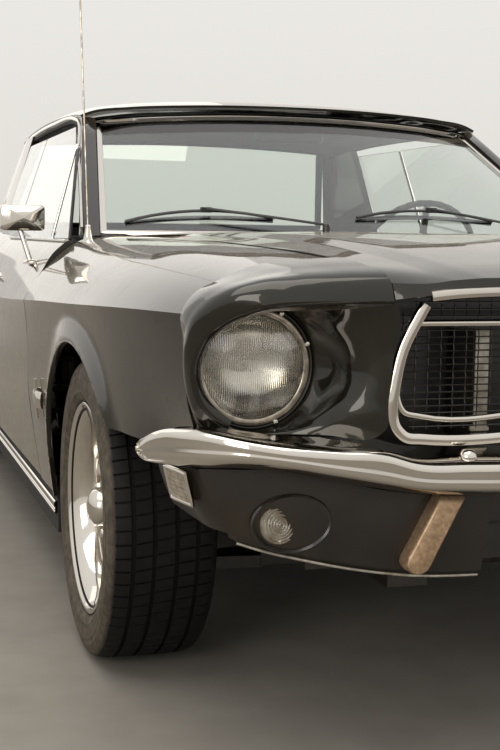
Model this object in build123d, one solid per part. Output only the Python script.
"""Two-door hardtop coupe of the late 1960s, with a long hood and a short deck.

Millimetres. +Z is up, the nose points to -Y and the car's right side is at -X. The origin lies
on the floor under the middle of the overall length.
"""
import os
from math import cos, radians, sin

from build123d import *

# Overall sizes
LENGTH = 4663.0
WHEELBASE = 2743.0
FRONT_OVERHANG = 910.0
TRACK = 1486.0
HALF_WIDTH = 888.0
ROOF_HEIGHT = 1311.0

# Gaps and walls
PANEL_GAP = 6.5
SEAT_GAP = 0.3
SKIN = 10.0
DOOR_DEPTH = 96.0
GLASS = 6.0

# Wheels and tyres
TYRE_R = 314.0
RIM_R = 222.0
HUB_BORE_R = 32.0
DRUM_R = 110.0
SPOKES = 5
ARCH_R = 352.0
REAR_ARCH_R = 346.0

# Steering
KINGPIN_INSET = 85.0
LOWER_ARM_Z = 186.0
UPPER_ARM_Z = 446.0
ARM_T = 26.0
CROSSMEMBER_TOP = 228.0

# Heights
FLOOR_Z = 196.0
FLOOR_T = 6.0
SILL_TOP = 256.0
SILL_FOOT = 176.0
BELT_Z = 868.0
COWL_Z = 882.0
TRUNK_FLOOR_Z = 392.0

# Places along the car, measured rearwards from the front axle
BUCKET_SEAM = -726.0
GRILLE_FACE = -850.0
HOOD_NOSE = -889.0
HOOD_TAIL = 470.0
DOOR_FRONT = 650.0
DOOR_REAR = 1818.0
FIREWALL = 560.0
DECK_FRONT = 2884.0
DECK_REAR = 3596.0
TAIL = 3640.0

FRONT_AXLE = -LENGTH / 2 + FRONT_OVERHANG
REAR_AXLE = FRONT_AXLE + WHEELBASE
HUB_X = TRACK / 2
KINGPIN_X = HUB_X - KINGPIN_INSET

os.makedirs("parts", exist_ok=True)


def behind(distance):
    """Row y of a place that lies this far behind the front axle."""
    return FRONT_AXLE + distance


def save(name, *shapes):
    """Write one node, as one solid or several that don't touch."""
    solids = [solid for shape in shapes for solid in shape.solids()]
    export_step(Compound(children=solids) if len(solids) > 1 else solids[0], f"parts/{name}.step")


def box(x, y, z):
    """A box between three pairs of limits."""
    size = [high - low for low, high in (x, y, z)]
    middle = [(high + low) / 2 for low, high in (x, y, z)]
    return Pos(*middle) * Box(*size)


def rod(start, end, radius):
    """A round bar from one point to another."""
    path = Vector(*end) - Vector(*start)
    plane = Plane(origin=start, z_dir=path)
    return Solid.make_cylinder(radius, path.length, plane)


def prism(outline, along, low, high):
    """A closed outline pushed along one axis. Its points give the other two axes in order."""
    if along == "x":
        wire = [Vector(low, a, b) for a, b in outline]
        path = Vector(high - low, 0, 0)
    elif along == "y":
        wire = [Vector(a, low, b) for a, b in outline]
        path = Vector(0, high - low, 0)
    else:
        wire = [Vector(a, b, low) for a, b in outline]
        path = Vector(0, 0, high - low)
    return Solid.extrude(Face(Wire.make_polygon(wire, close=True)), path)


def skin_loft(outlines):
    """A solid with flat or ruled faces through closed outlines of as many points each."""
    wires = [Wire.make_polygon([Vector(*p) for p in points], close=True) for points in outlines]
    return Solid.make_loft(wires, ruled=True)


def thickened(points, wall):
    """A section's open line and the same line moved inwards, as one closed outline."""
    inner = []
    for i, (x, z) in enumerate(points):
        x0, z0 = points[max(i - 1, 0)]
        x1, z1 = points[min(i + 1, len(points) - 1)]
        length = ((x1 - x0) ** 2 + (z1 - z0) ** 2) ** 0.5
        inner.append((x + wall * (z1 - z0) / length, z - wall * (x1 - x0) / length))
    return points + inner[::-1]


def body_side(table, wall):
    """One body side's shell through a table of sections, right way up for the +X side."""
    outlines = []
    for row in table:
        y = behind(row[0])
        outlines.append([(x, y, z) for x, z in thickened(list(row[1:]), wall)])
    return skin_loft(outlines)


def both_sides(shape):
    """The shape and its mirror image across the car's middle."""
    return [shape, shape.mirror(Plane.YZ)]


def arch_cut(axle_y, radius):
    """What the wheel arch takes out of a body side, and everything below it."""
    disc = Pos(HUB_X + 60, axle_y, TYRE_R) * Rot(0, 90, 0) * Cylinder(radius, 400)
    below = box((HUB_X - 140, HUB_X + 260), (axle_y - radius, axle_y + radius), (-10, TYRE_R))
    return disc + below


# Front fenders. Columns: place, hood edge, crown, shoulder, crease, hollow, bulge, foot
FENDER = [
    (BUCKET_SEAM + 3, (562, 852), (700, 838), (780, 806), (818, 766), (812, 725), (808, 640), (800, 560)),
    (-360, (610, 872), (722, 860), (815, 810), (867, 757), (856, 700), (846, 560), (826, 450)),
    (0, (624, 878), (735, 864), (830, 804), (880, 743), (872, 690), (866, 520), (846, 330)),
    (360, (636, 881), (742, 865), (836, 797), (885, 730), (876, 675), (868, 480), (844, 268)),
    (DOOR_FRONT - PANEL_GAP, (650, 882), (750, 866), (842, 788), (887, 718), (881, 662), (876, 490), (844, 262)),
]
fender = body_side(FENDER, SKIN) - arch_cut(FRONT_AXLE, ARCH_R)
fender_foot = box((822, 850), (behind(ARCH_R + 30), behind(DOOR_FRONT - PANEL_GAP - 20)), (SILL_TOP + SEAT_GAP, 290))
fender = fender + fender_foot
save("front_fenders", *both_sides(fender))

# Quarter panels behind the doors. Columns as the fenders
QUARTER = [
    (DOOR_REAR + PANEL_GAP, (744, 872), (778, 868), (843, 780), (888, 700), (880, 650), (884, 480), (850, 262)),
    (2250, (744, 884), (768, 876), (842, 796), (890, 716), (882, 660), (886, 480), (852, 262)),
    (2600, (690, 905), (748, 888), (838, 816), (889, 735), (882, 680), (884, 500), (860, 330)),
    (WHEELBASE + 200, (566, 922), (716, 897), (826, 828), (882, 748), (876, 695), (876, 520), (856, 400)),
    (3300, (562, 912), (700, 892), (806, 830), (862, 762), (856, 700), (856, 540), (838, 372)),
    (TAIL, (556, 884), (680, 872), (774, 828), (828, 772), (822, 700), (822, 590), (804, 424)),
]
quarter = body_side(QUARTER, SKIN) - arch_cut(REAR_AXLE, REAR_ARCH_R)

# Hood with its raised middle. Columns: place, crease, side, edge
HOOD_T = 16.0
HOOD = [
    (HOOD_NOSE + 2, (380, 812), (430, 808), (466, 805)),
    (-842, (400, 832), (455, 822), (526, 797)),
    (-732, (420, 850), (470, 848), (552, 850)),
    (-400, (446, 882), (500, 874), (600, 871)),
    (HOOD_TAIL, (470, 893), (530, 884), (634, 881)),
]
hood_sections = []
for place, crease, side, edge in HOOD:
    half = [(0, crease[1] + 4), crease, side, edge]
    top = [(-x, z) for x, z in half[:0:-1]] + half
    bottom = [(x, z - HOOD_T) for x, z in top[::-1]]
    hood_sections.append([(x, behind(place), z) for x, z in top + bottom])
hood = skin_loft(hood_sections)

# Hood hinges: arms that drop below the cowl and come up under the hood
HINGE_T = 8.0
HOOD_AXIS = (behind(530.0), COWL_Z - 28)
hood_arm_line = [(8, 8), (-8, -66), (-128, -66), (-146, 10), (-126, 10), (-112, -48), (-22, -48), (-8, 8)]
hood_arm = prism([(HOOD_AXIS[0] + a, HOOD_AXIS[1] + b) for a, b in hood_arm_line], "x", 536, 536 + HINGE_T)
hood_pin = rod((528, *HOOD_AXIS), (553, *HOOD_AXIS), 5.0)
hood_pad = box((524, 556), (HOOD_AXIS[0] - 150, HOOD_AXIS[0] - 122), (HOOD_AXIS[1] + 8, COWL_Z - 12))
for part in both_sides(hood_arm + hood_pin + hood_pad):
    hood = hood + part
save("hood", hood)

# Doors. Columns: place, belt outside, shoulder, crease, hollow, bulge, tuck, foot
DOOR_INNER_X = HALF_WIDTH - DOOR_DEPTH - 64
DOOR_FOOT_X = 770.0
DOOR = [
    (DOOR_FRONT, (775, 868), (843, 787), (887, 718), (881, 662), (876, 490), (857, 345), (844, 264)),
    (1240, (777, BELT_Z), (843, 784), (888, 697), (881, 645), (879, 480), (861, 335), (847, 264)),
    (DOOR_REAR, (778, BELT_Z), (843, 780), (888, 700), (880, 650), (884, 480), (868, 330), (850, 264)),
]
DOOR_END_RAKE = 0.1
door_sections = []
for place, *outer in DOOR:
    inner = [(DOOR_FOOT_X, 264), (DOOR_INNER_X, 330), (DOOR_INNER_X, BELT_Z - 6)]
    rake = DOOR_END_RAKE if place == DOOR_REAR else 0.0
    door_sections.append([(x, behind(place) - (HALF_WIDTH - x) * rake, z) for x, z in outer + inner])
door = skin_loft(door_sections)

# Window plane of the doors: the glass leans in towards the roof rail
GLASS_FOOT = (764.0, BELT_Z + SEAT_GAP)
GLASS_HEAD = (650.0, 1206.0)


def window_x(z):
    """Outer face of the side glass at a height."""
    share = (z - GLASS_FOOT[1]) / (GLASS_HEAD[1] - GLASS_FOOT[1])
    return GLASS_FOOT[0] + share * (GLASS_HEAD[0] - GLASS_FOOT[0])


def pane(outline):
    """A flat pane in the side window plane. The outline's points are place and height."""
    return skin_loft([[(window_x(z) - inwards, behind(p), z) for p, z in outline] for inwards in (0, GLASS)])


def vent_place(z):
    """Where the bar between vent window and door glass stands at a height."""
    return VENT_FOOT + (z - BELT_Z) * VENT_LEAN


VENT_FOOT = 985.0
VENT_LEAN = 0.46
VENT_TOP = 1140.0
BAR = 11.0
QUARTER_GLASS_FRONT = 1836.0
QUARTER_GLASS_REAR = 2238.0
WINDOW_TOP = 1202.0
GLASS_FOOT_Z = BELT_Z + SEAT_GAP
bar_foot_z = BELT_Z - 20
vent_bar = pane([(vent_place(bar_foot_z) - BAR, bar_foot_z), (vent_place(bar_foot_z) + BAR, bar_foot_z),
                 (vent_place(VENT_TOP) + BAR, VENT_TOP), (vent_place(VENT_TOP) - BAR, VENT_TOP)])
door = door + vent_bar
edge = BAR + SEAT_GAP
door_glass = pane([(vent_place(GLASS_FOOT_Z) + edge, GLASS_FOOT_Z), (DOOR_REAR - 14, GLASS_FOOT_Z),
                   (DOOR_REAR - 4, WINDOW_TOP), (1250, WINDOW_TOP), (vent_place(VENT_TOP) + edge, VENT_TOP)])
vent_glass = pane([(700, GLASS_FOOT_Z), (vent_place(GLASS_FOOT_Z) - edge, GLASS_FOOT_Z),
                   (vent_place(VENT_TOP) - edge, VENT_TOP)])
door_glazing = [door_glass, vent_glass]

# Door hinges: pins that stand ahead of the gap, inside the fender
DOOR_AXIS = (848.0, behind(DOOR_FRONT - 44))
DOOR_SWEEP_R = 59.4
HINGE_HEIGHTS = (450.0, 580.0)
PIN_R = 5.0
HINGE_H = 40.0
door = door - Pos(*DOOR_AXIS, 500) * Cylinder(DOOR_SWEEP_R, 600)
hinge_ears = []
for z in HINGE_HEIGHTS:
    x, y = DOOR_AXIS
    strap = box((x - 60, x), (y - 4, y + 6), (z, z + HINGE_H))
    strap = strap + box((x - 60, x - 34), (y - 4, y + 54), (z, z + HINGE_H))
    eye = Pos(x, y, z + HINGE_H / 2) * Cylinder(PIN_R + 3, HINGE_H)
    door = door + (strap + eye - Pos(x, y, z + HINGE_H / 2) * Cylinder(PIN_R + SEAT_GAP, HINGE_H * 2))
    pin = rod((x, y, z - 14), (x, y, z + HINGE_H + 14), PIN_R)
    for low in (z - 14, z + HINGE_H + SEAT_GAP):
        plate = box((x - 90, x + 6), (y - 30, y + 8), (low, low + 14 - SEAT_GAP))
        hinge_ears.append(plate + pin)
# One ear pair and its pin make a single solid
hinge_sets = [hinge_ears[0] + hinge_ears[1], hinge_ears[2] + hinge_ears[3]]

# Outside mirrors: a chrome box on a slanted stalk
MIRROR_FOOT = (836.0, behind(880.0), 793.0)
MIRROR_BOX = ((816, 916), (behind(890), behind(925)), (876, 952))
mirror = box(*MIRROR_BOX) + rod(MIRROR_FOOT, (866, behind(908), 890), 7)
mirror = mirror + (Pos(*MIRROR_FOOT) * Rot(0, 50, 0) * Cylinder(22, 8)) - door
for side, name in ((-1, "right"), (1, "left")):
    shapes = {"door": [door], "door_glass": door_glazing, "mirror": [mirror.solids().sort_by(SortBy.VOLUME)[-1]]}
    for node, solids in shapes.items():
        save(f"{node}_{name}", *[s if side > 0 else s.mirror(Plane.YZ) for s in solids])

# Roof: sections across the car at these half widths. Columns: x, then place and height of
# the header, the front rise, the top, the back rise and the tail
ROOF_T = 26.0
ROOF = [
    (638, (1222, 1230), (1450, 1243), (1750, 1250), (2150, 1246), (2490, 1222)),
    (600, (1216, 1240), (1450, 1258), (1750, 1266), (2150, 1262), (2490, 1238)),
    (350, (1164, 1262), (1450, 1290), (1750, 1301), (2150, 1294), (2485, 1262)),
    (0, (1137, 1268), (1450, 1300), (1750, ROOF_HEIGHT), (2150, 1303), (2480, 1268)),
]


def roof_solid(below, above):
    """The roof's cap from this far below its skin to this far above it."""
    sections = []
    half = ROOF[:]
    for sign, rows in ((-1, half), (1, half[-2::-1])):
        for x, *line in rows:
            top = [(sign * x, behind(p), z + above) for p, z in line]
            under = [(sign * x, behind(p), z - below) for p, z in line[::-1]]
            sections.append(top + under)
    return skin_loft(sections)


roof = roof_solid(ROOF_T, 0)
roof_room = roof_solid(ROOF_T + SEAT_GAP, 260)
PILLAR_FOOT_Z = COWL_Z + SEAT_GAP
pillar = skin_loft([
    [(698, behind(612), PILLAR_FOOT_Z), (742, behind(634), PILLAR_FOOT_Z),
     (742, behind(690), PILLAR_FOOT_Z), (698, behind(690), PILLAR_FOOT_Z)],
    [(600, behind(1216), 1226), (636, behind(1226), 1226), (636, behind(1270), 1226), (600, behind(1270), 1226)],
])
for part in both_sides(pillar):
    roof = roof + part
save("roof", roof)

# Sail panels carry the roof's back corners and belong to the quarter panels
sail = skin_loft([
    [(722, behind(2262), 872), (757, behind(2250), 872), (748, behind(2800), 872), (700, behind(2800), 872)],
    [(600, behind(2262), 1262), (636, behind(2250), 1262), (636, behind(2492), 1262), (600, behind(2492), 1262)],
])
sail = sail - roof_room
quarter = quarter + sail
save("quarter_panels", *both_sides(quarter))

# Windshield, cut under the roof's header
WINDSHIELD = [(0, 531, 1168), (350, 553, 1196), (600, 600, 1262), (690, 640, 1306)]
WINDSHIELD_FOOT_Z = COWL_Z + SEAT_GAP


def bowed_glass(rows, low_z, high_z, head_share, inwards):
    """Curved glass across the car. Rows: x, then its place at the low and at the high level."""
    sections = []
    for column, z, share in ((1, low_z, 1.0), (2, high_z, head_share)):
        half = [(row[0] * share, row[column]) for row in rows]
        line = [(-x, p) for x, p in half[:0:-1]] + half
        back = [(x * (1 - GLASS / 700), p + inwards * GLASS) for x, p in line[::-1]]
        sections.append([(x, behind(p), z) for x, p in line + back])
    return skin_loft(sections)


windshield = bowed_glass(WINDSHIELD, WINDSHIELD_FOOT_Z, 1260, 0.842, 1.7) - roof_room
save("windshield", windshield.solids().sort_by(SortBy.VOLUME)[-1])

REAR_WINDOW = [(0, 2792, 2462), (350, 2786, 2466), (600, 2770, 2470), (672, 2760, 2474)]
DECK_Z = 918.0
rear_window = bowed_glass(REAR_WINDOW, DECK_Z + SEAT_GAP, 1260, 0.845, -1.2) - roof_room
save("rear_window", rear_window.solids().sort_by(SortBy.VOLUME)[-1])

quarter_glass = pane([(QUARTER_GLASS_FRONT, 871.2), (QUARTER_GLASS_REAR, 881.8), (QUARTER_GLASS_REAR, WINDOW_TOP),
                      (QUARTER_GLASS_FRONT, WINDOW_TOP)])
save("quarter_glass", *both_sides(quarter_glass))

# Floor, sills, rear rails and trunk floor, pressed as one shell
floor_line = [(FIREWALL, 430), (FIREWALL + 150, FLOOR_Z), (1960, FLOOR_Z), (2010, 300), (2290, 350),
              (2420, TRUNK_FLOOR_Z + 60), (2900, TRUNK_FLOOR_Z + 60), (2990, TRUNK_FLOOR_Z), (3560, TRUNK_FLOOR_Z)]
floor_outline = [(behind(p), z) for p, z in floor_line]
floor_outline += [(behind(p), z + FLOOR_T) for p, z in floor_line[::-1]]
FLOOR_HALF = 724.0
TUB_X = 604.0
TUNNEL_END = 2300.0
SPRING_FRONT = 2200.0
floor = prism(floor_outline, "x", -FLOOR_HALF, FLOOR_HALF)
for side in (-1, 1):
    inner_x, outer_x = side * TUB_X, side * (FLOOR_HALF + 40)
    floor = floor - box(sorted((inner_x, outer_x)), (behind(2400), behind(3120)), (100, 700))
tunnel = prism([(-150, FLOOR_Z), (-110, 340), (110, 340), (150, FLOOR_Z)], "y", behind(FIREWALL + 40), behind(TUNNEL_END))
tunnel = tunnel - prism([(-144, FLOOR_Z - 5), (-104, 334), (104, 334), (144, FLOOR_Z - 5)], "y",
                        behind(FIREWALL), behind(TUNNEL_END + 10))
tunnel_room = prism([(-144, FLOOR_Z - 20), (-144, FLOOR_Z - 5), (-104, 334), (104, 334), (144, FLOOR_Z - 5),
                     (144, FLOOR_Z - 20)], "y", behind(FIREWALL), behind(TUNNEL_END))
floor = (floor - tunnel_room) + tunnel
tank = box((-400, 400), (behind(3020), behind(3500)), (TRUNK_FLOOR_Z - 170, TRUNK_FLOOR_Z))
floor = floor + tank
WELL_SKIN = 5.0
for side in (-1, 1):
    x0, x1 = sorted((side * FLOOR_HALF, side * 842))
    sill = box((x0, x1), (behind(ARCH_R + 24), behind(2370)), (SILL_FOOT, SILL_TOP))
    tub_x = sorted((side * TUB_X, side * (TUB_X + WELL_SKIN)))
    tub = box(tub_x, (behind(2380), behind(3120)), (TRUNK_FLOOR_Z - 10, 716))
    lid_x = sorted((side * TUB_X, side * 846))
    tub = tub + box(lid_x, (behind(2380), behind(3120)), (712, 712 + WELL_SKIN))
    rail_x = sorted((side * 500, side * 560))
    rail = box(rail_x, (behind(2345), behind(3560)), (300, TRUNK_FLOOR_Z))
    rail = rail - box(sorted((side * 490, side * 570)), (behind(2400), behind(3060)), (200, TRUNK_FLOOR_Z - 12))
    front_rail = [(1990, 236), (SPRING_FRONT - SEAT_GAP, 236), (SPRING_FRONT - SEAT_GAP, 336), (2012, 303)]
    rail = rail + prism([(behind(p), z) for p, z in front_rail], "x", *rail_x)
    floor = floor + sill + tub + rail
save("floor_pan", floor)

# Firewall, cowl, hinge pillars, inner fenders and radiator frame
FIREWALL_T = 8.0
PLENUM_Z = 780.0
COWL_T = 5.0
PILLAR_TOP = 805.0
PILLAR_OUT = 775.0
cowl = box((-PILLAR_OUT, PILLAR_OUT), (behind(FIREWALL), behind(FIREWALL) + FIREWALL_T), (437, PILLAR_TOP))
cowl = cowl + box((-642, 642), (behind(FIREWALL), behind(FIREWALL) + FIREWALL_T), (PILLAR_TOP - 10, COWL_Z))
cowl = cowl + box((-640.8, 640.8), (behind(HOOD_TAIL + PANEL_GAP), behind(DOOR_FRONT)), (COWL_Z - COWL_T, COWL_Z))
cowl = cowl + box((-722, 722), (behind(DOOR_FRONT - 2), behind(720)), (COWL_Z - 14, COWL_Z))
for side in (-1, 1):
    post_x = sorted((side * (FLOOR_HALF + 0.5), side * PILLAR_OUT))
    cowl = cowl + box(post_x, (behind(FIREWALL), behind(DOOR_FRONT - PANEL_GAP)), (SILL_TOP + SEAT_GAP, PILLAR_TOP))
for ear_set in hinge_sets:
    for part in both_sides(ear_set):
        cowl = cowl + part
for part in both_sides(box((544.6, 552), (HOOD_AXIS[0] - 14, behind(FIREWALL)), (HOOD_AXIS[1] - 14, COWL_Z - COWL_T))):
    cowl = cowl + part
cowl = cowl - rod((-553, *HOOD_AXIS), (-527, *HOOD_AXIS), 5.3) - rod((527, *HOOD_AXIS), (553, *HOOD_AXIS), 5.3)
APRON_X = 448.0
apron_line = [(APRON_X, 300), (APRON_X, 700), (596, 730), (596, 800), (601, 800), (601, 725), (APRON_X + 5, 695),
              (APRON_X + 5, 300)]
for part in both_sides(prism(apron_line, "y", behind(-690), behind(FIREWALL))):
    cowl = cowl + part
RADIATOR = -700.0
frame_y = (behind(RADIATOR), behind(RADIATOR) + 12)
radiator_frame = box((-601, 601), frame_y, (340, 790)) - box((-360, 360), (-4000, 0), (400, 740))
cowl = cowl + radiator_frame + box((-374, 374), (behind(RADIATOR) + 10, behind(RADIATOR) + 60), (386, 756))
for side in (-1, 1):
    cowl = cowl + box(sorted((side * 322, side * 352)), (behind(-790), behind(RADIATOR) + 14), (560, 740))
    rail_x = sorted((side * 380, side * 440))
    cowl = cowl + box(rail_x, (behind(-700), behind(FIREWALL)), (300, 380))
    cowl = cowl + box(sorted((side * 440, side * 453)), (behind(-700), behind(FIREWALL)), (300, 380))
save("firewall_and_aprons", cowl)

# Engine with its gearbox, one plain block each
engine = box((-270, 270), (behind(-330), behind(330)), (CROSSMEMBER_TOP + SEAT_GAP, 770))
gearbox = box((-95, 95), (behind(330), behind(1040)), (206, 330))
save("engine_block", engine + gearbox)

# Headlamp buckets ahead of the fenders. Columns as the fenders
BUCKET = [
    (BUCKET_SEAM - 1, (562, 852), (700, 838), (780, 806), (818, 766), (812, 725), (806, 660), (798, 612)),
    (-790, (548, 840), (690, 825), (768, 799), (810, 772), (802, 730), (796, 672), (788, 616)),
]
# Its front edge, the outer line and then the inner one back
BROW = [(530, 810), (676, 808), (752, 802), (806, 784), (804, 777), (802, 770), (800, 764),
        (790, 764), (792, 769), (794, 774), (796, 778), (748, 791), (676, 798), (530, 800)]
BROW_PLACE = -866.0
LAMP = (711.0, -742.0, 684.0)
LAMP_R = 89.0
LAMP_HOLE_R = 97.0
BUCKET_WALL = 10.0
bucket_outlines = []
for place, *line in BUCKET:
    bucket_outlines.append([(x, behind(place), z) for x, z in thickened(line, BUCKET_WALL)])
bucket_outlines.append([(x, behind(BROW_PLACE), z) for x, z in BROW])
bucket = skin_loft(bucket_outlines)
face_line = [(521.3, -849), (600, -822), (640, -790), (795, -742), (795, -732), (640, -776), (596, -808), (521.3, -836)]
face = prism([(x, behind(p)) for x, p in face_line], "z", 604, 797)
face = face - box((500, 545), (behind(-900), behind(-800)), (776, 800))
lamp_bore = Pos(LAMP[0], behind(LAMP[1]), LAMP[2]) * Rot(90, 0, 0) * Cylinder(LAMP_HOLE_R, 120)
back_outline = thickened(list(BUCKET[0][1:]), BUCKET_WALL - 2)[len(BUCKET[0]) - 1:]
back_plate = prism(back_outline, "y", behind(BUCKET_SEAM - 10), behind(BUCKET_SEAM + 3 - SEAT_GAP))
bucket = (bucket + face + back_plate - lamp_bore).solids().sort_by(SortBy.VOLUME)[-1]
save("headlamp_buckets", *both_sides(bucket))

lamp_y = behind(LAMP[1])
lens = Pos(LAMP[0], lamp_y - 6, LAMP[2]) * Rot(90, 0, 0) * Cone(LAMP_R, LAMP_R * 0.6, 22)
bezel = Pos(LAMP[0], lamp_y + 6, LAMP[2]) * Rot(90, 0, 0) * Cylinder(LAMP_HOLE_R - SEAT_GAP, 14)
shell = Pos(LAMP[0], lamp_y + 35, LAMP[2]) * Rot(90, 0, 0) * Cone(30, 80, 46)
save("headlamps", *both_sides(lens + bezel + shell))

# Grille surround and the bars of the grille behind it
SURROUND_SIDE = [(479, 783), (490, 751), (509, 710), (521, 650), (517, 604), (490, 580)]
SURROUND_W = 15.0
GRILLE_BACK = -812.0


def ring_outline(inset):
    """The surround's closed outline, moved in by an inset."""
    middle_z = 690
    side = [(x - inset, z + (inset if z < middle_z - 60 else -inset if z > 770 else 0)) for x, z in SURROUND_SIDE]
    return side + [(-x, z) for x, z in side[::-1]]


surround = prism(ring_outline(0), "y", behind(GRILLE_FACE), behind(GRILLE_BACK))
surround = surround - prism(ring_outline(SURROUND_W), "y", behind(GRILLE_FACE) - 5, behind(GRILLE_BACK) + 5)
for half, low, high in ((482, 752, 763), (508, 611, 622)):
    surround = surround + box((-half, half), (behind(GRILLE_FACE) + 12, behind(GRILLE_BACK)), (low, high))
save("grille_surround", surround)
BAR_W = 5.0
UPRIGHTS = 19
CROSSBARS = 7
grille_y = (behind(GRILLE_BACK) + SEAT_GAP, behind(GRILLE_BACK) + SEAT_GAP + BAR_W)
grille = None
for i in range(UPRIGHTS):
    x = -468 + i * 936 / (UPRIGHTS - 1)
    upright = box((x - BAR_W / 2, x + BAR_W / 2), grille_y, (588, 792))
    grille = upright if grille is None else grille + upright
for i in range(CROSSBARS):
    z = 590.5 + i * 199 / (CROSSBARS - 1)
    grille = grille + box((-480, 480), grille_y, (z - BAR_W / 2, z + BAR_W / 2))
save("grille", grille)

# Front bumper, a blade that dips towards the middle. Columns: x, place, turn of the section in
# degrees, depth, then the heights of back edge, top edge, bottom edge and under edge
FRONT_BUMPER = [
    (0, -FRONT_OVERHANG, 0, 84, 556, 541, 500, 486),
    (340, -903, 0, 84, 560, 541, 503, 488),
    (520, -892, 6, 84, 568, 556, 516, 500),
    (680, -872, 12, 80, 580, 572, 546, 528),
    (790, -820, 34, 56, 592, 588, 552, 536),
    (847, -722, 66, 26, 588, 584, 541, 528),
    (862, -592, 84, 14, 546, 543, 529, 521),
]
BLADE_T = 8.0


def blade(table):
    """A bent blade through upright sections that turn with the corner."""
    outlines = []
    for x, place, turn, depth, back_z, top_z, low_z, under_z in table:
        inwards = (-sin(radians(turn)), cos(radians(turn)))
        line = [(depth, back_z), (0, top_z), (0, low_z), (depth * 0.3, under_z)]
        line += [(depth * 0.3, under_z + BLADE_T * 0.6), (BLADE_T, low_z + BLADE_T * 0.5)]
        line += [(BLADE_T, top_z - BLADE_T * 0.6), (depth, back_z - BLADE_T * 0.7)]
        outlines.append([(x + inwards[0] * d, behind(place) + inwards[1] * d, z) for d, z in line])
    half = skin_loft(outlines)
    return half + half.mirror(Plane.YZ)


front_bumper = blade(FRONT_BUMPER)
for side in (-1, 1):
    stay_x = sorted((side * 384, side * 436))
    front_bumper = front_bumper + box(stay_x, (behind(-896), behind(RADIATOR) - SEAT_GAP), (506, 520))
save("front_bumper", front_bumper)

# Valance below the bumper, in two halves
VALANCE_T = 6.0
valance_face = [(318, 478), (440, 480), (520, 492), (600, 512), (680, 528), (812, 530), (757, 414), (642, 384),
                (444, 347), (336, 341)]
valance = prism(valance_face, "y", behind(-800), behind(-800) + VALANCE_T)
side_plate = skin_loft([
    [(812, behind(-800), 530), (757, behind(-800), 414), (751, behind(-800), 417), (806, behind(-800), 531)],
    [(829, behind(-610), 520), (800, behind(-610), 440), (794, behind(-610), 443), (823, behind(-610), 521)],
])
bracket = box((446, 470), (behind(-797), behind(RADIATOR) - SEAT_GAP), (440, 470))
PARKING = (660.0, 440.0, 44.0)
park_hole = Pos(PARKING[0], behind(-790), PARKING[1]) * Rot(90, 0, 0) * Cylinder(PARKING[2], 60)
valance = valance + side_plate + bracket - park_hole
save("front_valance", *both_sides(valance))
cup = Pos(PARKING[0], behind(-782), PARKING[1]) * Rot(90, 0, 0) * Cylinder(PARKING[2] - SEAT_GAP, 28)
cup_room = Pos(PARKING[0], behind(-798), PARKING[1]) * Rot(90, 0, 0) * Cylinder(PARKING[2] - 5, 40)
bulb_lens = Pos(PARKING[0] + 4, behind(-784), PARKING[1]) * Rot(90, 0, 0) * Cylinder(30, 20)
save("parking_lamps", *both_sides(cup - cup_room + bulb_lens))

# Guards that stand on the valance, slanting outwards as they go down
guard_line = [(380, 476), (425, 477), (475, 372), (462, 360), (448, 358), (434, 370)]
guard = prism([(x, z) for x, z in guard_line], "y", behind(-838), behind(-800) - SEAT_GAP)
save("bumper_guards", *both_sides(guard))

# Side markers on the flanks of the valance and of the quarters
front_marker = skin_loft([
    [(838, behind(-760), 484), (838, behind(-700), 480), (838, behind(-690), 514), (838, behind(-750), 518)],
    [(780, behind(-758), 486), (780, behind(-702), 482), (780, behind(-692), 512), (780, behind(-748), 516)],
])
front_marker = front_marker - Pos(SEAT_GAP, 0, 0) * side_plate
rear_marker = box((830, 860), (behind(3340), behind(3420)), (560, 600)) - Pos(SEAT_GAP, 0, 0) * quarter
markers = [front_marker.solids().sort_by(Axis.X)[-1], rear_marker.solids().sort_by(Axis.X)[-1]]
save("side_marker_lamps", *both_sides(markers[0]), *both_sides(markers[1]))

# Back panel between rear window and trunk lid, with the shelf behind the rear seat
back_panel = box((-565.5, 565.5), (behind(2786), behind(DECK_FRONT - PANEL_GAP)), (DECK_Z - 8, DECK_Z))
shelf = box((-596, 596), (behind(2300), behind(2800)), (848, 854))
web = box((-560, 560), (behind(2794), behind(2800)), (854, DECK_Z - 8))
TRUNK_AXIS = (behind(DECK_FRONT - 64), DECK_Z - 40)
back_panel = back_panel + shelf + web
for part in both_sides(box((486.6, 496), (TRUNK_AXIS[0] - 12, TRUNK_AXIS[0] + 12), (TRUNK_AXIS[1] - 12, DECK_Z - 8))):
    back_panel = back_panel + part
pin_room = rod((470, *TRUNK_AXIS), (500, *TRUNK_AXIS), 5.3)
back_panel = back_panel - pin_room - pin_room.mirror(Plane.YZ)
save("back_panel", back_panel)

# Trunk lid. Columns: place, crown height, side, edge
LID_T = 16.0
LID_SWEEP_R = 73.5
LID = [
    (DECK_FRONT, 934, (400, 930), (559, 920)),
    (3300, 924, (400, 921), (555, 911)),
    (DECK_REAR, 900, (396, 897), (549, 886)),
]
lid_sections = []
for place, crown_z, side, edge in LID:
    half = [(0, crown_z), side, edge]
    top = [(-x, z) for x, z in half[:0:-1]] + half
    lid_sections.append([(x, behind(place), z) for x, z in top + [(x, z - LID_T) for x, z in top[::-1]]])
lid = skin_loft(lid_sections) - rod((-600, *TRUNK_AXIS), (600, *TRUNK_AXIS), LID_SWEEP_R)
lid_arm_line = [(-8, 8), (8, -66), (128, -66), (146, 30), (126, 30), (112, -48), (22, -48), (8, 8)]
lid_arm = prism([(TRUNK_AXIS[0] + a, TRUNK_AXIS[1] + b) for a, b in lid_arm_line], "x", 478, 478 + HINGE_T)
lid_arm = lid_arm + rod((470, *TRUNK_AXIS), (496, *TRUNK_AXIS), 5.0)
for part in both_sides(lid_arm):
    lid = lid + part
save("trunk_lid", lid)

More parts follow.
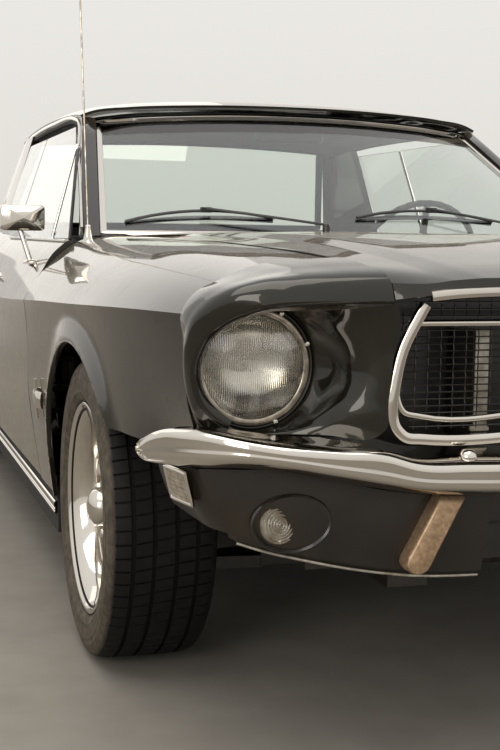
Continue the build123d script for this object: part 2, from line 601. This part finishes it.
# Tail panel with the lip above it, the fuel cap and the lamps
tail_side = [(556, 884), (680, 872), (774, 828), (828, 772), (822, 700), (822, 600)]
tail_inner = thickened(tail_side, SKIN + SEAT_GAP)[len(tail_side):]
tail_outline = tail_inner + [(-x, z) for x, z in tail_inner[::-1]]
tail_panel = prism(tail_outline, "y", behind(TAIL - 26), behind(TAIL - 16))
lip = box((-544, 544), (behind(DECK_REAR + PANEL_GAP), behind(TAIL)), (862, 884))
tail_panel = tail_panel + lip
cap = Pos(0, behind(TAIL - 10), 730) * Rot(90, 0, 0) * Cylinder(48, 34)
tail_panel = tail_panel + cap
floor_join = box((-480, 480), (behind(3560) + SEAT_GAP, behind(TAIL - 20)), (TRUNK_FLOOR_Z, 440))
tail_web = box((-480, 480), (behind(TAIL - 26), behind(TAIL - 18)), (430, 640))
tail_panel = tail_panel + floor_join + tail_web
save("tail_panel", tail_panel)
LAMP_PITCH = 84.0
tail_lamps = []
for column in range(3):
    x = 540 + LAMP_PITCH * column
    lamp = box((x - 33, x + 33), (behind(TAIL - 16) + SEAT_GAP, behind(TAIL + 6)), (668, 796))
    tail_lamps += both_sides(lamp)
save("tail_lamps", *tail_lamps)

# Rear bumper. Columns as the front one; it is turned round for the tail
REAR_TIP = LENGTH - FRONT_OVERHANG
REAR_BUMPER = [
    (0, REAR_TIP, 0, 70, 600, 590, 520, 500),
    (560, REAR_TIP - 4, 0, 70, 600, 590, 520, 500),
    (760, REAR_TIP - 34, 20, 54, 600, 590, 524, 504),
    (848, REAR_TIP - 96, 60, 26, 600, 592, 528, 512),
    (868, REAR_TIP - 250, 84, 14, 596, 590, 534, 524),
]
flipped = [(x, -place, *rest) for x, place, *rest in REAR_BUMPER]
rear_bumper = blade(flipped).mirror(Plane.XZ)
rear_bumper = Pos(0, 2 * FRONT_AXLE, 0) * rear_bumper
for side in (-1, 1):
    stay = box(sorted((side * 300, side * 340)), (behind(TAIL - 18) + SEAT_GAP, behind(REAR_TIP - 4)), (534, 548))
    rear_bumper = rear_bumper + stay
save("rear_bumper", rear_bumper)

# Rear valance with the bracket of the blank number plate, and its two holes
PLATE_HOLE_SPACING = 177.8
PLATE_HOLE_R = 3.5
PLATE_T = 5.0
rear_valance = prism([(-780, 480), (-700, 352), (700, 352), (780, 480)], "y", behind(3660), behind(3668))
rear_valance = rear_valance + box((-470, 470), (behind(TAIL - 18) + SEAT_GAP, behind(3668)), (452, 462))
rear_valance = rear_valance + box((-152, 152), (behind(3668), behind(3668) + PLATE_T), (362, 476))
for x in (-PLATE_HOLE_SPACING / 2, PLATE_HOLE_SPACING / 2):
    rear_valance = rear_valance - rod((x, behind(3650), 460 - 14), (x, behind(3690), 446), PLATE_HOLE_R)
save("rear_valance", rear_valance)

# Rocker mouldings on the outer sills
moulding = box((842 + SEAT_GAP, 850), (behind(ARCH_R + 30), behind(2360)), (222, 250))
save("rocker_mouldings", *both_sides(moulding))

# Radio aerial on the right fender
AERIAL = (-738.0, behind(562), 868.0)
AERIAL_TOP = 1560.0
aerial = Pos(AERIAL[0], AERIAL[1], AERIAL[2] + 14) * Cone(12, 7, 28)
aerial = aerial + rod(AERIAL, (AERIAL[0] - 18, AERIAL[1] + 30, AERIAL_TOP), 2.2)
fender_right = fender.mirror(Plane.YZ)
aerial = aerial - Pos(0, 0, SEAT_GAP) * fender_right
save("antenna", aerial.solids().sort_by(SortBy.VOLUME)[-1])

# Wipers parked along the windshield's foot
wipers = []
for x in (-520, 60):
    pivot = Pos(x, behind(530), COWL_Z + SEAT_GAP + 7) * Cylinder(9, 14)
    arm = rod((x, behind(530), COWL_Z + 12), (x + 400, behind(516), COWL_Z + 14), 4)
    wipers.append(pivot + arm - windshield)
save("wipers", *wipers)

# Dashboard with the steering column, and the steering wheel
DASH_LINE = [(655, 867.7), (722, 867.7), (905, 856), (935, 790), (900, 700), (760, 690), (655, 780)]
DASH_HALF = 700.0
COLUMN_TILT = 22.0
STEERING_HUB = (370.0, behind(1010), 800.0)
WHEEL_RIM_R = 190.0
column_dir = (0.0, cos(radians(COLUMN_TILT)), sin(radians(COLUMN_TILT)))


def along_column(distance):
    """A point on the steering column's axis, measured from the wheel's hub."""
    return tuple(a + b * distance for a, b in zip(STEERING_HUB, column_dir))


dashboard = prism([(behind(p), z) for p, z in DASH_LINE], "x", -DASH_HALF, DASH_HALF)
dashboard = dashboard + rod(along_column(-170), along_column(-SEAT_GAP), 26)
save("dashboard", dashboard)
wheel_plane = Plane(origin=along_column(34), x_dir=(1, 0, 0), z_dir=column_dir)
steering_wheel = Solid.make_torus(WHEEL_RIM_R, 10, wheel_plane) + rod(STEERING_HUB, along_column(40), 42)
for turn in (0, 180, 270):
    spoke = Rot(0, 0, turn) * Pos(WHEEL_RIM_R / 2 + 10, 0, -4) * Box(WHEEL_RIM_R - 22, 18, 5)
    steering_wheel = steering_wheel + wheel_plane.location * spoke
save("steering_wheel", steering_wheel)

# Seats, plain blocks for the padded ones
SEAT_X = (165.0, 665.0)
SEAT_LINE = [(1180, FLOOR_Z + FLOOR_T + SEAT_GAP), (1180, 392), (1240, 426), (1650, 404), (1738, 872), (1776, 892),
             (1826, 880), (1740, 420), (1716, FLOOR_Z + FLOOR_T + SEAT_GAP)]
front_seat = prism([(behind(p), z) for p, z in SEAT_LINE], "x", *SEAT_X)
save("front_seats", *both_sides(front_seat))
REAR_SEAT_LINE = [(2014, 340 + SEAT_GAP), (2000, 436), (2050, 456), (2230, 430), (2306, 842), (2376, 842),
                  (2392, 800), (2300, 367), (2190, 340 + SEAT_GAP)]
rear_seat = prism([(behind(p), z) for p, z in REAR_SEAT_LINE], "x", -596, 596)
save("rear_seat", rear_seat)

# Tyres and wheels. Columns: distance from the wheel's middle, radius
TYRE = [(-95.7, 205.5), (-95.7, 224), (-107, 236), (-111, 262), (-107, 290), (-93, 308), (-62, TYRE_R),
        (62, TYRE_R), (93, 308), (107, 290), (111, 262), (107, 236), (95.7, 224), (95.7, 205.5), (84, 205.5),
        (90, 228), (94, 262), (88, 288), (60, 298), (-60, 298), (-88, 288), (-94, 262), (-90, 228), (-84, 205.5)]
RIM = [(-101, RIM_R), (-96, RIM_R), (-96, 205), (-84, 205), (-60, 192), (60, 192), (84, 205), (96, 205),
       (96, RIM_R), (101, RIM_R), (101, 214), (86, 197), (62, 184), (-62, 184), (-86, 197), (-101, 214)]


def turned(outline):
    """A ring turned about the X axis."""
    return Solid.revolve(Face(Wire.make_polygon([Vector(x, 0, r) for x, r in outline], close=True)), 360, Axis.X)


def across(low, high, radius):
    """A disc about the X axis between two distances from the wheel's middle."""
    return rod((low, 0, 0), (high, 0, 0), radius)


tyre = turned(TYRE)
wheel = turned(RIM) + across(-30, 22, 78) + across(22, 58, 40) + across(-62, -30, DRUM_R)
for i in range(SPOKES):
    spoke = skin_loft([
        [(-14, -40, 50), (20, -34, 50), (20, 34, 50), (-14, 40, 50)],
        [(-24, -27, 188), (4, -20, 188), (4, 20, 188), (-24, 27, 188)],
    ])
    wheel = wheel + Rot(360 * i / SPOKES, 0, 0) * spoke
wheel = wheel - across(-110, 2, HUB_BORE_R + SEAT_GAP)
for axle_name, axle_y in (("front", FRONT_AXLE), ("rear", REAR_AXLE)):
    for side_name, side in (("right", -1), ("left", 1)):
        place = Pos(side * HUB_X, axle_y, TYRE_R)
        for node, shape in (("tyre", tyre), ("wheel", wheel)):
            shape = shape if side > 0 else shape.mirror(Plane.YZ)
            save(f"{node}_{axle_name}_{side_name}", place * shape)

# Front suspension, with knuckles that carry the front wheels
SPINDLE_END = HUB_X - 3
POST = 12.0
post_z = (LOWER_ARM_Z + ARM_T / 2 + SEAT_GAP, UPPER_ARM_Z - ARM_T / 2 - SEAT_GAP)
knuckle = rod((KINGPIN_X, FRONT_AXLE, post_z[0]), (KINGPIN_X, FRONT_AXLE, post_z[1]), POST)
knuckle = knuckle + rod((KINGPIN_X, FRONT_AXLE, TYRE_R), (SPINDLE_END, FRONT_AXLE, TYRE_R), HUB_BORE_R)
knuckle = knuckle + box((KINGPIN_X - POST, KINGPIN_X + 4), (FRONT_AXLE, FRONT_AXLE + 120), (TYRE_R - 70, TYRE_R - 54))
for name, side in (("right", -1), ("left", 1)):
    save(f"knuckle_{name}", knuckle if side > 0 else knuckle.mirror(Plane.YZ))
CROSSMEMBER_X = 470.0
suspension = box((-CROSSMEMBER_X, CROSSMEMBER_X), (behind(-50), behind(50)), (178, CROSSMEMBER_TOP))
for side in (-1, 1):
    riser = box(sorted((side * 386, side * 434)), (behind(-50), behind(50)), (220, 300 - SEAT_GAP))
    suspension = suspension + riser
end_x = KINGPIN_X + 14
lower_arm = prism([(CROSSMEMBER_X - 4, -48), (CROSSMEMBER_X - 4, 48), (end_x, 24), (end_x, -24)], "z",
                  LOWER_ARM_Z - ARM_T / 2, LOWER_ARM_Z + ARM_T / 2)
upper_arm = prism([(APRON_X + 5 + SEAT_GAP, -110), (APRON_X + 5 + SEAT_GAP, 110), (end_x, 22), (end_x, -22)], "z",
                  UPPER_ARM_Z - ARM_T / 2, UPPER_ARM_Z + ARM_T / 2)
SPRING_X = 535.0
spring = rod((SPRING_X, FRONT_AXLE, UPPER_ARM_Z), (SPRING_X, FRONT_AXLE, 702), 40)
lower_arm = Pos(0, FRONT_AXLE, 0) * lower_arm
for part in both_sides(lower_arm):
    suspension = suspension + part
save("front_suspension", suspension, *both_sides(Pos(0, FRONT_AXLE, 0) * upper_arm + spring))

# Rear axle on its leaf springs, with the driveshaft
AXLE_TUBE_R = 38.0
axle_end = HUB_X - 70
rear_axle = rod((-axle_end, REAR_AXLE, TYRE_R), (axle_end, REAR_AXLE, TYRE_R), AXLE_TUBE_R)
rear_axle = rear_axle + rod((-SPINDLE_END, REAR_AXLE, TYRE_R), (SPINDLE_END, REAR_AXLE, TYRE_R), HUB_BORE_R)
rear_axle = rear_axle + rod((-100, REAR_AXLE, TYRE_R), (100, REAR_AXLE, TYRE_R), 118)
rear_axle = rear_axle + rod((0, behind(1044), 268), (0, REAR_AXLE, TYRE_R), 30)
LEAF_X = 530.0
for side in (-1, 1):
    leaf_x = (side * LEAF_X - 25, side * LEAF_X + 25)
    leaf = box(leaf_x, (behind(SPRING_FRONT), behind(3300)), (258, 282))
    for low in (SPRING_FRONT, 3260):
        leaf = leaf + box(leaf_x, (behind(low), behind(low + 40)), (270, 300 - SEAT_GAP))
    rear_axle = rear_axle + leaf
save("rear_axle", rear_axle)

# Twin exhausts
PIPE_X = 300.0
PIPE_Z = 158.0
exhaust = rod((PIPE_X, behind(420), PIPE_Z), (PIPE_X, behind(3700), PIPE_Z), 27)
exhaust = exhaust + box((PIPE_X - 80, PIPE_X + 80), (behind(1500), behind(1950)), (PIPE_Z - 34, FLOOR_Z - SEAT_GAP))
save("exhaust_system", *both_sides(exhaust))
